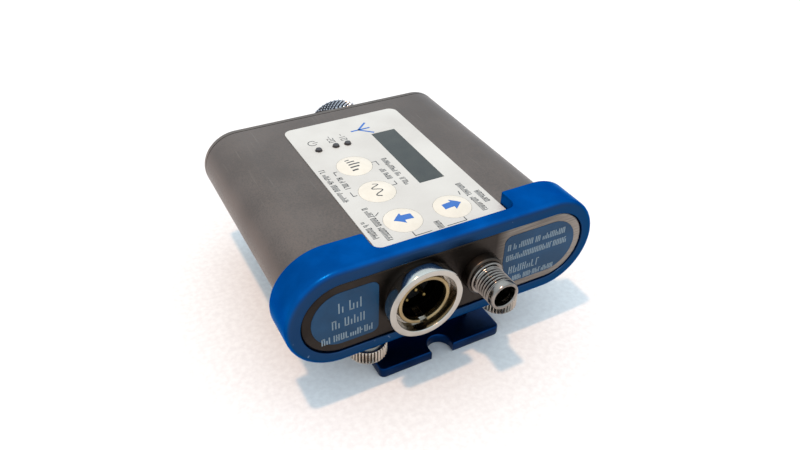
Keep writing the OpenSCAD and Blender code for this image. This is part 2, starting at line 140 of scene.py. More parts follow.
# Blasted nickel: the blasting grain is 0.12 mm, drawn at 0.35 mm to show, and lengthwise scratches
# from slipping in and out of pouches are a few hundredths wide, drawn at a tenth.
case_nickel, tree, place = begin("blasted electroless nickel")
cloud = add(tree, "TexNoise", {"Vector": place, "Scale": 1 / (14 * MM), "Detail": 5.0})
grain = add(tree, "TexNoise", {"Vector": place, "Scale": 1 / (0.35 * MM), "Detail": 2.0})
lengthwise = add(tree, "Mapping", {"Vector": place, "Rotation": (0, 0, 0.06), "Scale": (1, 0.03, 1)})
scratch = add(tree, "TexNoise", {"Vector": lengthwise.outputs[0], "Scale": 1 / (0.5 * MM), "Detail": 3.0})
scuff = add(tree, "MapRange", {"Value": scratch.outputs[0], "From Min": 0.66, "From Max": 0.8})
mottle = add(tree, "Math", {0: cloud.outputs[0], 1: grain.outputs[0]}, operation="ADD")
share = add(tree, "MapRange", {"Value": mottle.outputs[0], "From Min": 0.8, "From Max": 1.2})
tone = add(tree, "Mix", {0: share.outputs[0], 6: linear("#625751"), 7: linear("#71645D")}, data_type="RGBA")
worn = add(tree, "Mix", {0: scuff.outputs[0], 6: tone.outputs[2], 7: linear("#7E7269")}, data_type="RGBA")
gloss = add(tree, "MapRange", {"Value": grain.outputs[0], "From Min": 0.3, "From Max": 0.7,
                               "To Min": 0.32, "To Max": 0.5})
bump = add(tree, "Bump", {"Height": grain.outputs[0], "Strength": 0.3, "Distance": 0.06 * MM})
shader = add(tree, "BsdfPrincipled", {"Base Color": worn.outputs[2], "Metallic": 1.0,
                                      "Roughness": gloss.outputs[0], "Normal": bump.outputs[0]})
add(tree, "OutputMaterial", {"Surface": shader.outputs[0]})
cover(case_nickel, "case_body")

# Battery door: a turned-edge plate of the same metal and finish, held by the knob. Its insulating
# pad is black acetal, and the strip on it is tinned brass.
door_nickel = metal("satin nickel plate", ("#655A53", "#74675F"), (0.3, 0.42), stretch=(0.08, 1, 1))
cover(door_nickel, "battery_door")


def moulded(name, tones, rough, patch=6, grain=0.2, relief=0.15, **shine):
    """Plastic, film or lacquer that varies between two tones in patches, with a fine grain in its relief.
    Patch and grain are in millimetres, and shine holds sockets of the shader itself."""
    material, tree, place = begin(name)
    cloud = add(tree, "TexNoise", {"Vector": place, "Scale": 1 / (patch * MM), "Detail": 4.0})
    fine = add(tree, "TexNoise", {"Vector": place, "Scale": 1 / (grain * MM), "Detail": 2.0})
    share = add(tree, "MapRange", {"Value": cloud.outputs[0], "From Min": 0.35, "From Max": 0.65})
    tone = add(tree, "Mix", {0: share.outputs[0], 6: linear(tones[0]), 7: linear(tones[1])}, data_type="RGBA")
    gloss = add(tree, "MapRange", {"Value": fine.outputs[0], "From Min": 0.3, "From Max": 0.7,
                                   "To Min": rough[0], "To Max": rough[1]})
    bump = add(tree, "Bump", {"Height": fine.outputs[0], "Strength": relief, "Distance": grain * MM / 4})
    shader = add(tree, "BsdfPrincipled", {"Base Color": tone.outputs[2], "Roughness": gloss.outputs[0],
                                          "Normal": bump.outputs[0], **shine})
    add(tree, "OutputMaterial", {"Surface": shader.outputs[0]})
    return material


black_acetal = moulded("black acetal", ("#0B0B0C", "#151516"), (0.42, 0.55))
tinned_brass = metal("tinned brass strip", ("#B9A878", "#CDBF95"), (0.25, 0.4), stretch=(0.06, 1, 1))
cover(black_acetal, "door_insulator", "audio_jack_insulator")
cover(tinned_brass, "door_contact")

# Knob of the battery door: turned brass, diamond knurled and dark chrome plated, on a threaded
# shank that screws into a brass bush in the case. A plain washer lies under it.


def rounded(corners, reach, steps=6):
    """A closed outline with each corner replaced by a circular arc that starts and ends reach from it:
    the rational curve of A, C, B with middle weight sin(half the corner's angle)."""
    corners = np.asarray(corners, float)
    reach = np.broadcast_to(np.asarray(reach, float), len(corners))[:, None]
    back = np.roll(corners, 1, 0) - corners
    ahead = np.roll(corners, -1, 0) - corners
    back /= np.linalg.norm(back, axis=1, keepdims=True)
    ahead /= np.linalg.norm(ahead, axis=1, keepdims=True)
    weight = np.sqrt((1 - (back * ahead).sum(1)) / 2)[:, None, None]
    t = np.linspace(0, 1, steps)[None, :, None]
    a, c, b = [p[:, None, :] for p in (corners + back * reach, corners, corners + ahead * reach)]
    shares = ((1 - t) ** 2, 2 * weight * t * (1 - t), t ** 2)
    return ((shares[0] * a + shares[1] * c + shares[2] * b) / sum(shares)).reshape(-1, 2)


def grid(points, close_u=False, close_v=False):
    """Quads from each point of a (u, v) grid to its next row and column, wrapped where that way is closed."""
    index = np.arange(points.shape[0] * points.shape[1]).reshape(points.shape[:2])
    if close_u:
        index = np.vstack([index, index[:1]])
    if close_v:
        index = np.hstack([index, index[:, :1]])
    quads = np.stack([index[:-1, :-1], index[1:, :-1], index[1:, 1:], index[:-1, 1:]], -1)
    return points.reshape(-1, 3), quads.reshape(-1, 4).tolist()


def turned(profile, centre, axis=1, steps=96, ripple=None, closed=True):
    """Surface of revolution: each profile point (radius, height) goes round the axis through centre.
    ripple(turn, radius, height) is added to the radius. An open profile starts and ends on the axis."""
    turn = np.linspace(0, 2 * np.pi, steps, endpoint=False)[:, None]
    radius = profile[None, :, 0] + (ripple(turn, profile[None, :, 0], profile[None, :, 1]) if ripple else 0)
    across = [i for i in (0, 1, 2) if i != axis]
    points = np.zeros((steps, len(profile), 3))
    points[..., across[0]] = radius * np.cos(turn)
    points[..., across[1]] = radius * np.sin(turn)
    points[..., axis] = profile[None, :, 1]
    flat = np.array(centre, float)
    flat[axis] = 0
    return grid(points + flat, close_u=True, close_v=closed)


def new_piece(name, shells, material, crease=32):
    """A mesh object made of shells (points, faces). Doubles are merged, which closes seams and poles,
    faces are turned outwards, and edges sharper than crease degrees stay sharp."""
    points, faces, start = [], [], 0
    for p, f in shells:
        points.append(p)
        faces += [[start + i for i in face] for face in f]
        start += len(p)
    mesh = bpy.data.meshes.new(name)
    mesh.from_pydata(np.concatenate(points).tolist(), [], faces)
    work = bmesh.new()
    work.from_mesh(mesh)
    bmesh.ops.remove_doubles(work, verts=work.verts, dist=1e-7)
    bmesh.ops.recalc_face_normals(work, faces=work.faces)
    work.to_mesh(mesh)
    work.free()
    mesh.shade_smooth()
    mesh.set_sharp_from_angle(angle=np.radians(crease))
    piece = bpy.data.objects.new(name, mesh)
    bpy.context.scene.collection.objects.link(piece)
    mesh.materials.append(material)
    return piece


def triangle(x):
    """Triangle wave: 0 at whole numbers, 1 half way between them."""
    return 1 - np.abs(2 * (x - np.floor(x)) - 1)


knob_low, knob_high = low("door_knob"), high("door_knob")
knob_r = (knob_high[0] - knob_low[0]) / 2
head_y = high("door_washer")[1]
shank_r = 2.0 * MM
bevel = 0.5 * MM
diamonds = 44
diamond_h = 2 * np.pi * knob_r / diamonds


def diamond_knurl(turn, radius, height):
    """Two families of V grooves that cross: the lower of two triangle waves of turn plus and minus height."""
    a, b = turn * diamonds / (2 * np.pi), (height - head_y) / diamond_h
    on_rim = np.clip((radius - knob_r + 0.1 * MM) / (0.1 * MM), 0, 1)
    return on_rim * 0.6 * MM * (np.minimum(triangle(a + b), triangle(a - b)) - 1)


rim = np.linspace(head_y + bevel, knob_high[1] - bevel, 42)
knob_profile = np.array([
    (0, knob_low[1]), (shank_r - 0.3 * MM, knob_low[1]), (shank_r, knob_low[1] + 0.3 * MM), (shank_r, head_y),
    (knob_r - 1.1 * MM, head_y), (knob_r - 0.45 * MM, head_y + 0.25 * MM),
    *[(knob_r, y) for y in rim],
    (knob_r - 0.45 * MM, knob_high[1] - 0.25 * MM), (knob_r - 1.1 * MM, knob_high[1]),
    (knob_r - 1.6 * MM, knob_high[1]), (knob_r - 1.9 * MM, knob_high[1] - 0.25 * MM),
    (0, knob_high[1] - 0.25 * MM)])
# painted shade, near black, in the knurl's grooves
dark_chrome = metal("dark chrome on brass", ("#94949A", "#B2B2B8"), (0.14, 0.26), patch=4, grain=0.15,
                    groove=((middle("door_knob")[0], (head_y + knob_high[1]) / 2, middle("door_knob")[2]), 1,
                            (knob_high[1] - head_y) / 2 - bevel, knob_r - 0.42 * MM,
                            knob_r - 0.25 * MM, "#0C0C0D"))
knob = new_piece("knob_knurled", [turned(knob_profile, middle("door_knob"), steps=diamonds * 8,
                                         ripple=diamond_knurl, closed=False)], dark_chrome, crease=24)
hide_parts("door_knob")
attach(knob, "knob")
turned_brass = metal("turned brass", ("#B08D52", "#C7A468"), (0.22, 0.36), grain=0.12, stretch=(1, 6, 1))
cover(turned_brass, "door_bush")
plain_washer = metal("stamped steel washer", ("#9A9A98", "#B0AFAC"), (0.3, 0.45))
cover(plain_washer, "door_washer", "thumb_washer_left", "thumb_washer_right")

# Connector panel: milled from the same aluminium, its face lightly brushed along its length and
# lighter in brushed streaks towards its right end. Two printed film labels are set into shallow pockets.
panel_metal, tree, place = begin("brushed nickel plate")
split = add(tree, "SeparateXYZ", {"Vector": place})
cloud = add(tree, "TexNoise", {"Vector": place, "Scale": 1 / (9 * MM), "Detail": 4.0})
along = add(tree, "Mapping", {"Vector": place, "Scale": (0.05, 1, 1)})
brush = add(tree, "TexNoise", {"Vector": along.outputs[0], "Scale": 1 / (0.3 * MM), "Detail": 2.0})
share = add(tree, "MapRange", {"Value": cloud.outputs[0], "From Min": 0.35, "From Max": 0.65})
tone = add(tree, "Mix", {0: share.outputs[0], 6: linear("#26211E"), 7: linear("#342E2A")}, data_type="RGBA")
# lighter in brushed streaks right of 9.5 mm, and a little more from 24 mm to the right end
outer = add(tree, "MapRange", {"Value": split.outputs[0], "From Min": 9.5 * MM, "From Max": 12.5 * MM})
end = add(tree, "MapRange", {"Value": split.outputs[0], "From Min": 24 * MM,
                             "From Max": 32 * MM, "To Max": 0.3})
lighter_share = add(tree, "Math", {0: outer.outputs[0], 1: brush.outputs[0], 2: end.outputs[0]},
           operation="MULTIPLY_ADD")
tone = add(tree, "Mix", {0: lighter_share.outputs[0], 6: tone.outputs[2], 7: linear("#9A9189")}, data_type="RGBA")
gloss = add(tree, "MapRange", {"Value": brush.outputs[0], "From Min": 0.3, "From Max": 0.7,
                               "To Min": 0.3, "To Max": 0.44})
bump = add(tree, "Bump", {"Height": brush.outputs[0], "Strength": 0.2, "Distance": 0.07 * MM})
shader = add(tree, "BsdfPrincipled", {"Base Color": tone.outputs[2], "Metallic": 1.0,
                                      "Roughness": gloss.outputs[0], "Normal": bump.outputs[0]})
add(tree, "OutputMaterial", {"Surface": shader.outputs[0]})
cover(panel_metal, "front_panel")
label_film = moulded("blue printed film", ("#09334F", "#103B5A"), (0.36, 0.48), patch=5, grain=0.15,
                      **{"Specular IOR Level": 0.2})
cover(label_film, "panel_label_left", "panel_label_right")


def bars(starts, ends, width, up, thick):
    """Flat bars, one from each start to its end: eight corners half a width to either side and
    thick along up."""
    starts, ends = np.atleast_2d(starts), np.atleast_2d(ends)
    along = ends - starts
    along = along / np.linalg.norm(along, axis=1, keepdims=True)
    side = np.cross(up, along) * width / 2
    rise = np.broadcast_to(np.array(up, float) * thick, side.shape)
    loop = [starts - side, ends - side, ends + side, starts + side]
    corners = np.stack(loop + [p + rise for p in loop], 1).reshape(-1, 3)
    faces = np.array([[0, 1, 2, 3], [7, 6, 5, 4], [0, 4, 5, 1], [1, 5, 6, 2], [2, 6, 7, 3], [3, 7, 4, 0]])
    return corners, (faces[None] + 8 * np.arange(len(starts))[:, None, None]).reshape(-1, 4).tolist()


def line(points, width, up, thick):
    """A drawn line: bars along the points, each a quarter of the width longer at both ends."""
    points = np.asarray(points, float)
    along = np.diff(points, axis=0)
    along = along / np.linalg.norm(along, axis=1, keepdims=True) * width / 4
    return bars(points[:-1] - along, points[1:] + along, width, up, thick)


def ticks(start, end, height, up, stroke, thick, draw):
    """A row of plain strokes between two points: uprights 0.3 of the height apart, each a half or
    the whole of the height, some left out, and between some of them a level stroke at the foot,
    the middle or the top."""
    start, end = np.array(start, float), np.array(end, float)
    along = (end - start) / np.linalg.norm(end - start)
    tall = np.cross(up, along) * height
    gap = 0.3 * height
    count = int(np.linalg.norm(end - start) / gap)
    places = start + np.outer((np.arange(count) + 0.5) * gap, along)
    kind = draw.integers(0, 9, count)
    whole, half = places[kind < 6], places[(kind == 6) | (kind == 7)]
    level = places[:-1][(kind[:-1] < 6) & (np.arange(count - 1) % 2 == 0)]
    rise = draw.choice((0.06, 0.5, 0.94), len(level))[:, None] * tall
    feet = np.concatenate([whole, half, level + rise])
    tips = np.concatenate([whole + tall, half + 0.6 * tall, level + rise + along * gap])
    return bars(feet, tips, stroke, up, thick)


draw = np.random.default_rng(7)
out = np.array((0, -1, 0))
label_y = low("panel_label_left")[1] + 0.005 * MM
print_t = 0.02 * MM
print_ink = moulded("pale blue-grey screen ink", ("#66757F", "#74838C"), (0.4, 0.5))
mid_z = middle("case_body")[2]
shells = []
for x0, x1, z, height in ((-25.1, -19.3, 1.35, 2.4), (-25.7, -18.3, -2.2, 2.1), (-27.8, -16.9, -5.3, 1.6),
                          (12.4, 27.4, 2.6, 1.5), (12.3, 28.4, -0.1, 1.5), (13.3, 22.2, -3.7, 1.9),
                          (14.2, 25.2, -5.9, 1.3)):
    shells.append(ticks((x0 * MM, label_y, mid_z + z * MM), (x1 * MM, label_y, mid_z + z * MM), height * MM,
                        out,
                        0.25 * MM, print_t, draw))
label_print = new_piece("label_print", shells, print_ink)
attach(label_print, "case")

# Keypad: a white polyester film printed from behind, with four domed keys, a display window and
# three small lamps under it. The marks between the keys are plain brackets, strokes and signs.
keypad_film = moulded("white printed polyester", ("#B4B0AA", "#BDBAB4"), (0.34, 0.44), patch=12, grain=0.12)
cover(keypad_film, "keypad_sheet")
cream_film = moulded("cream domed polyester", ("#C8C0B2", "#CFC7BA"), (0.3, 0.4), patch=3, grain=0.12)
keys = ("audio_button", "channel_button", "down_button", "up_button")
cover(cream_film, *keys)

sheet_top = high("keypad_sheet")[2]
face_up = np.array((0, 0, 1))
print_z = sheet_top - 0.012 * MM
lead = 2.8 * MM  # marks are placed from a line this far in front of the sheet
deck_y = low("keypad_sheet")[1] - lead


def at(x, y, z=print_z):
    """Place on the keypad: millimetres from the middle across, and back from deck_y."""
    return np.array((x * MM, deck_y + y * MM, z))


grey_ink = moulded("dark grey screen ink", ("#2A2B2D", "#343537"), (0.4, 0.5))
blue_ink = moulded("blue screen ink", ("#17529A", "#1D5CA8"), (0.36, 0.46))
shells = []
# rows of strokes where a maker prints the keys' functions: start and end along the keypad
for x, ya, yb, height in ((1.4, 33.4, 21.6, 1.25), (-0.9, 29.7, 25.0, 1.25), (-10.6, 30.4, 25.2, 1.25),
                          (-12.9, 34.6, 20.8, 1.25), (-10.7, 18.0, 6.2, 1.25), (-12.9, 13.9, 7.8, 1.25),
                          (13.0, 13.6, 8.9, 1.25), (10.9, 17.6, 6.4, 1.25), (0.0, 8.0, 5.2, 1.25)):
    shells.append(ticks(at(x, ya), at(x, yb), height * MM, face_up, 0.2 * MM, print_t, draw))
for points in (((-1.3, 31.9), (-1.3, 32.9), (0.0, 32.9), (0.0, 31.2)),
               ((0.0, 24.2), (0.0, 22.9), (-1.3, 22.9)),
               ((-9.4, 32.6), (-10.2, 32.6), (-10.2, 31.2)), ((-10.2, 24.2), (-10.2, 22.6), (-9.4, 22.6)),
               ((-9.2, 14.6), (-8.2, 15.4)), ((9.8, 13.7), (10.1, 14.9)),
               ((-5.2, 6.9), (-5.2, 5.6), (-1.6, 5.6)), ((1.9, 5.6), (6.3, 5.6), (6.3, 6.7))):
    shells.append(line([at(*p) for p in points], 0.2 * MM, face_up, print_t))


def numerals(code, x, y, size):
    """Seven-bar numerals read along the keypad towards the panel: each bar is a line of a figure
    one wide and two high."""
    strokes = {"1": [((0.5, 0), (0.5, 2))],
               "0": [((0, 0), (1, 0)), ((1, 0), (1, 2)), ((1, 2), (0, 2)), ((0, 2), (0, 0))],
               "2": [((0, 2), (1, 2)), ((1, 2), (1, 1)), ((1, 1), (0, 1)),
                     ((0, 1), (0, 0)), ((0, 0), (1, 0))],
               "-": [((0.1, 1), (0.9, 1))]}
    advance, bar_w = 1.6, 0.17 * MM
    found = []
    for place, sign in enumerate(code):
        for a, b in strokes[sign]:
            ends = [at(x + p[1] * size / 2, y - (place * advance + p[0]) * size / 2) for p in (a, b)]
            found.append(line(ends, bar_w, face_up, print_t))
    return found


shells += numerals("-20", -5.8, 47.4, 1.35)
shells += numerals("-10", -2.9, 47.2, 1.35)
# power sign beside its lamp: an open circle with a bar in the gap
arc = np.radians(np.linspace(40, 320, 20))
shells.append(line([at(-9.5 + 1.0 * np.cos(a), 46.0 + 1.0 * np.sin(a)) for a in arc],
                   0.2 * MM, face_up, print_t))
shells.append(line([at(-8.3, 46.0), at(-9.4, 46.0)], 0.2 * MM, face_up, print_t))
keypad_print = new_piece("keypad_print", shells, grey_ink)
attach(keypad_print, "case")

# blue antenna sign in the far corner: a mast with two arms
shells = [line([at(0.8, 47.2), at(5.4, 47.2)], 0.5 * MM, face_up, print_t),
          line([at(5.4, 49.7), at(2.6, 47.2), at(5.4, 44.7)], 0.5 * MM, face_up, print_t)]
sign_print = new_piece("sign_print", shells, blue_ink)
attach(sign_print, "case")


def dome(node):
    """Height of a key's spherical top over a point: the sphere through its rim and its crown."""
    lo, hi = low(node), high(node)
    r = (hi[0] - lo[0]) / 2
    rise = hi[2] - sheet_top
    sphere = (r * r + rise * rise) / (2 * rise)
    centre = (lo + hi) / 2
    return lambda x, y: hi[2] - sphere + np.sqrt(sphere ** 2 - (x - centre[0]) ** 2 - (y - centre[1]) ** 2)


def arrow(node, way):
    """An arrow printed on a key: across it from tail to tip, as wide as the shaft or as the head that narrows
    evenly to the tip, and as high as the dome a hundredth of a millimetre under and over."""
    u = np.array([-2.05, -1.6, -1.0, -0.5, 0.0, 0.0, 0.4, 0.8, 1.2, 1.6, 2.05]) * MM
    head = np.array([0, 0, 0, 0, 0, 1, 1, 1, 1, 1, 1])
    half = np.where(head, 1.75 * MM * (2.05 * MM - u) / (2.05 * MM), 0.85 * MM)
    v = np.linspace(-1, 1, 9)
    centre = middle(node)
    x = np.repeat((centre[0] + way * u)[:, None], 9, 1)
    y = centre[1] + half[:, None] * v[None, :]
    z = dome(node)(x, y)
    loop = [np.stack([x, y, z + 0.012 * MM], -1), np.stack([x, y, z - 0.03 * MM], -1)[:, ::-1]]
    points, faces = grid(np.concatenate(loop, 1), close_v=True)
    return points, faces + [list(range(17, -1, -1))]


for node, body, way in (("down_button", "down_key", -1), ("up_button", "up_key", 1)):
    print_piece = new_piece(node.replace("button", "arrow"), [arrow(node, way)], blue_ink, crease=60)
    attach(print_piece, body)


def raised(shell, height):
    """Moves flat print points onto a dome: each point's height above the sheet is kept."""
    points, faces = shell
    points = points.copy()
    points[:, 2] += height(points[:, 0], points[:, 1]) - sheet_top
    return points, faces


# signs on the two round keys: rising bars for the audio level and a wave for the channel
cx, cy = middle("audio_button")[0] / MM, (middle("audio_button")[1] - deck_y) / MM
shells = [line([at(cx - 1.3 + step, cy + 2.1 - 1.05 * i) for step in np.linspace(0, tall, 9)], 0.42 * MM,
               face_up, print_t) for i, tall in enumerate((0.8, 1.6, 2.4, 1.9, 1.2))]
audio_sign = new_piece("audio_sign", [raised(s, dome("audio_button")) for s in shells], grey_ink)
cx, cy = middle("channel_button")[0] / MM, (middle("channel_button")[1] - deck_y) / MM
wave = np.linspace(-2.3, 2.3, 41)
shells = [line([at(cx + 0.95 * np.sin(w * 2.73), cy - w) for w in wave], 0.26 * MM, face_up, print_t)]
channel_sign = new_piece("channel_sign", [raised(s, dome("channel_button")) for s in shells], grey_ink)
for sign, body in ((audio_sign, "audio_key"), (channel_sign, "channel_key")):
    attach(sign, body)

window = moulded("scratched display window", ("#1E1F1A", "#292A24"), (0.1, 0.2),
                 patch=4, grain=0.4, relief=0.04)
cover(window, "display_window")
lamp_lens = moulded("smoked epoxy lens", ("#1C1310", "#2A1C18"), (0.08, 0.14), relief=0.02)
cover(lamp_lens, "power_lamp", "level_lamp_low", "level_lamp_high")

# Boards and what stands on them: green solder mask, a tinned screening can, black moulded chips
# and switches. They show only when the battery door is open.
solder_mask = moulded("green solder mask", ("#0E4A2A", "#146038"), (0.24, 0.36), patch=2.5, grain=0.3)
tinned_can = metal("tinned steel can", ("#A8A8A4", "#BDBCB6"), (0.28, 0.44), patch=5)
moulded_epoxy = moulded("moulded black epoxy", ("#131315", "#1D1D20"), (0.5, 0.64))
cover(solder_mask, "main_board", "keypad_board")
cover(tinned_can, "shield_can")
cover(moulded_epoxy, "board_chips", "board_header", "key_switches", "display_module")

# Cells: steel cans in a printed shrink sleeve, copper-coloured at the positive end. Coned springs
# of plated wire press them against the door.
band_at = 11 * MM  # from the cell's middle
fold = 0.9 * MM
for cell, way in (("battery_left", 1), ("battery_right", -1)):
    sleeve, tree, place = begin("printed shrink sleeve, " + cell)
    split = add(tree, "SeparateXYZ", {"Vector": place})
    band_y = middle(cell)[1] + way * band_at
    band = add(tree, "MapRange", {"Value": split.outputs[1], "From Min": band_y,
                                  "From Max": band_y + way * 0.1 * MM})
    fine = add(tree, "TexNoise", {"Vector": place, "Scale": 1 / (0.4 * MM), "Detail": 2.0})
    tone = add(tree, "Mix", {0: band.outputs[0], 6: linear("#17181B"), 7: linear("#B0713A")},
               data_type="RGBA")
    # the steel can shows inside the fold of the sleeve's turned-in edge
    offset = add(tree, "VectorMath", {0: place, 1: tuple(middle(cell))}, operation="SUBTRACT")
    across = add(tree, "VectorMath", {0: offset.outputs[0], 1: (1, 0, 1)}, operation="MULTIPLY")
    away = add(tree, "VectorMath", {0: across.outputs[0]}, operation="LENGTH")
    rim_r = (high(cell)[0] - low(cell)[0]) / 2 - fold
    lighter_share = add(tree, "MapRange", {"Value": away.outputs["Value"], "From Min": rim_r,
                                  "From Max": rim_r - 0.05 * MM})
    tone = add(tree, "Mix", {0: lighter_share.outputs[0], 6: tone.outputs[2], 7: linear("#8F8D88")}, data_type="RGBA")
    bump = add(tree, "Bump", {"Height": fine.outputs[0], "Strength": 0.1, "Distance": 0.05 * MM})
    shader = add(tree, "BsdfPrincipled", {"Base Color": tone.outputs[2], "Metallic": lighter_share.outputs[0],
                                          "Roughness": 0.3, "Normal": bump.outputs[0]})
    add(tree, "OutputMaterial", {"Surface": shader.outputs[0]})
    cover(sleeve, cell)
spring_wire = metal("nickel plated spring wire", ("#B4B3AF", "#C9C8C3"), (0.14, 0.24), patch=2, grain=0.1)
cover(spring_wire, "battery_springs")

# Audio jack: a polished nickel ring round a locking shell with a key slot at the bottom, a black
# insulator and five gold plated pins. A hexagonal nut holds it behind the panel.
polished_nickel = metal("polished nickel", ("#A8A29A", "#B8B2AA"), (0.1, 0.2), patch=5, grain=0.15,
                        stretch=(1, 4, 1), relief=0.05)
ring_lo, ring_hi = low("audio_jack_ring"), high("audio_jack_ring")
ring_r = (ring_hi[0] - ring_lo[0]) / 2
panel_y = low("front_panel")[1]
lip_back = ring_lo[1] + 2.6 * MM
shell_lo, shell_hi = low("audio_jack_shell"), high("audio_jack_shell")
shell_r = (shell_hi[0] - shell_lo[0]) / 2
bore_r = ring_r - 1.34 * MM
neck_r = ring_r - 1.0 * MM
hole_r = shell_r + 0.05 * MM
ring_profile = rounded([(ring_r, ring_lo[1]), (ring_r, lip_back), (neck_r, lip_back), (neck_r, ring_hi[1]),
                        (hole_r, ring_hi[1]), (hole_r, lip_back), (bore_r, lip_back), (bore_r, ring_lo[1])],
                       np.array((0.3, 0.3, 0.1, 0.06, 0.06, 0.1, 0.1, 0.2)) * MM)
ring = new_piece("audio_ring", [turned(ring_profile, middle("audio_jack_ring"), steps=160)], polished_nickel,
                 crease=50)
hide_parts("audio_jack_ring")
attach(ring, "case")

shell_wall = 0.8 * MM
key_end = panel_y + 1.0 * MM
key_half = np.arcsin(0.8 * MM / (shell_r - shell_wall / 2))


def sweep_turned(profile, centre, turns):
    """Part of a turned tube: the profile at each turn about an axis along Y, with both ends closed."""
    points = np.stack([profile[None, :, 0] * np.cos(turns)[:, None] + centre[0],
                       np.repeat(profile[None, :, 1], len(turns), 0),
                       profile[None, :, 0] * np.sin(turns)[:, None] + centre[2]], -1)
    shell, faces = grid(points, close_v=True)
    last = (len(turns) - 1) * len(profile)
    return shell, faces + [list(range(len(profile))), list(range(last, last + len(profile)))]


centre = middle("audio_jack_shell")
unshaded_mouth = 1.2 * MM  # length at the shell's mouth that stays free of painted shade
front = rounded([(shell_r, shell_lo[1]), (shell_r, key_end), (shell_r - shell_wall, key_end),
                 (shell_r - shell_wall, shell_lo[1])], np.array((0.2, 0.02, 0.02, 0.2)) * MM, steps=4)
rear = rounded([(shell_r, key_end), (shell_r, shell_hi[1]), (shell_r - shell_wall, shell_hi[1]),
                (shell_r - shell_wall, key_end)], np.array((0.02, 0.1, 0.1, 0.02)) * MM, steps=4)
turns = np.linspace(-np.pi / 2 + key_half, 1.5 * np.pi - key_half, 120)
# painted shade, dark brown, on the shell's inner wall behind its mouth
shell_nickel = metal("turned nickel silver", ("#8E7B5A", "#A28E6B"), (0.2, 0.32), patch=4, grain=0.12,
                     stretch=(1, 5, 1),
                     groove=((centre[0], (shell_lo[1] + shell_hi[1] + unshaded_mouth) / 2, centre[2]), 1,
                             (shell_hi[1] - shell_lo[1] - unshaded_mouth) / 2,
                             shell_r - 0.7 * MM, shell_r - 0.3 * MM,
                             "#1E1913"))
shell = new_piece("audio_shell", [sweep_turned(front, centre, turns), turned(rear, centre, steps=120)],
                  shell_nickel, crease=50)
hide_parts("audio_jack_shell")
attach(shell, "case")
gold_pin = metal("worn gold plate", ("#77633C", "#8B7448"), (0.2, 0.34), patch=1, grain=0.08)
cover(gold_pin, "audio_jack_pins", "antenna_contact")
plated_nut = metal("nickel plated nut", ("#A5A4A0", "#B7B6B1"), (0.25, 0.38), patch=3, grain=0.15)
cover(plated_nut, "audio_jack_nut", "antenna_nut")

# Antenna jack: a stainless barrel with a fine thread of 0.7 mm pitch, a plain nose and a turned
# shoulder and base, round a white fluoroplastic insulator and a gold contact.
jack_lo, jack_hi = low("antenna_jack"), high("antenna_jack")
thread_r = 3.175 * MM
shoulder_r = (jack_hi[0] - jack_lo[0]) / 2
socket_r = 2.35 * MM
shoulder_y = panel_y - 2.8 * MM
socket_end = low("antenna_insulator")[1] + 1.0 * MM
nose_y = jack_lo[1] + 1.5 * MM
pitch = 0.706 * MM
# painted shade, near black, in the thread's grooves
steel = metal("turned stainless steel", ("#7D756F", "#958D86"), (0.14, 0.24), patch=3, grain=0.1,
              stretch=(1, 5, 1), relief=0.06,
              groove=((middle("antenna_jack")[0], (nose_y + shoulder_y) / 2, middle("antenna_jack")[2]), 1,
                      (shoulder_y - nose_y) / 2, thread_r - 0.36 * MM, thread_r - 0.08 * MM, "#14110F"))


def thread(turn, radius, height):
    """A screw thread: a triangle wave of height over pitch less one turn, faded out at both ends."""
    near = np.clip((height - nose_y) / (0.35 * MM), 0, 1) * np.clip(
        (shoulder_y - 0.2 * MM - height) / (0.3 * MM), 0, 1)
    outside = np.where(radius > socket_r + 0.5 * MM, 1, 0)
    return -outside * near * 0.46 * MM * (1 - triangle(height / pitch - turn / (2 * np.pi)))


run = np.linspace(nose_y, shoulder_y - 0.15 * MM, 64)
jack_profile = np.array([
    (socket_r, socket_end), (socket_r, jack_lo[1] + 0.25 * MM),
    (socket_r + 0.12 * MM, jack_lo[1] + 0.06 * MM),
    (socket_r + 0.25 * MM, jack_lo[1]), (thread_r - 0.4 * MM, jack_lo[1]),
    (thread_r - 0.22 * MM, jack_lo[1] + 0.1 * MM),
    (thread_r - 0.12 * MM, jack_lo[1] + 0.3 * MM), (thread_r - 0.12 * MM, nose_y - 0.1 * MM),
    *[(thread_r, y) for y in run],
    (thread_r - 0.25 * MM, shoulder_y - 0.1 * MM), (thread_r - 0.25 * MM, shoulder_y),
    (shoulder_r - 0.2 * MM, shoulder_y),
    (shoulder_r, shoulder_y + 0.2 * MM), (shoulder_r, panel_y), (thread_r, panel_y),
    (thread_r, jack_hi[1] - 0.2 * MM),
    (thread_r - 0.2 * MM, jack_hi[1]), (1.0 * MM, jack_hi[1]), (1.0 * MM, socket_end)])
jack = new_piece("antenna_barrel", [turned(jack_profile, middle("antenna_jack"), steps=128, ripple=thread)],
                 steel,
                 crease=28)
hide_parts("antenna_jack")
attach(jack, "case")

base_lo, base_hi = low("antenna_base"), high("antenna_base")
base_r = (base_hi[0] - base_lo[0]) / 2
base_profile = rounded([(base_r, base_lo[1]), (base_r, base_hi[1]), (shoulder_r + 0.02 * MM, base_hi[1]),
                        (shoulder_r + 0.02 * MM, base_lo[1])], np.array((0.45, 0.05, 0.02, 0.1)) * MM)
dull_steel = metal("dull stainless steel", ("#3F3833", "#4E463F"), (0.3, 0.42), patch=3, grain=0.15)
base = new_piece("antenna_base_turned", [turned(base_profile, middle("antenna_base"), steps=120)], dull_steel,
                 crease=50)
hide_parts("antenna_base")
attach(base, "case")
fluoroplastic = moulded("white fluoroplastic", ("#D8D5CC", "#E4E1D9"), (0.5, 0.6))
cover(fluoroplastic, "antenna_insulator")

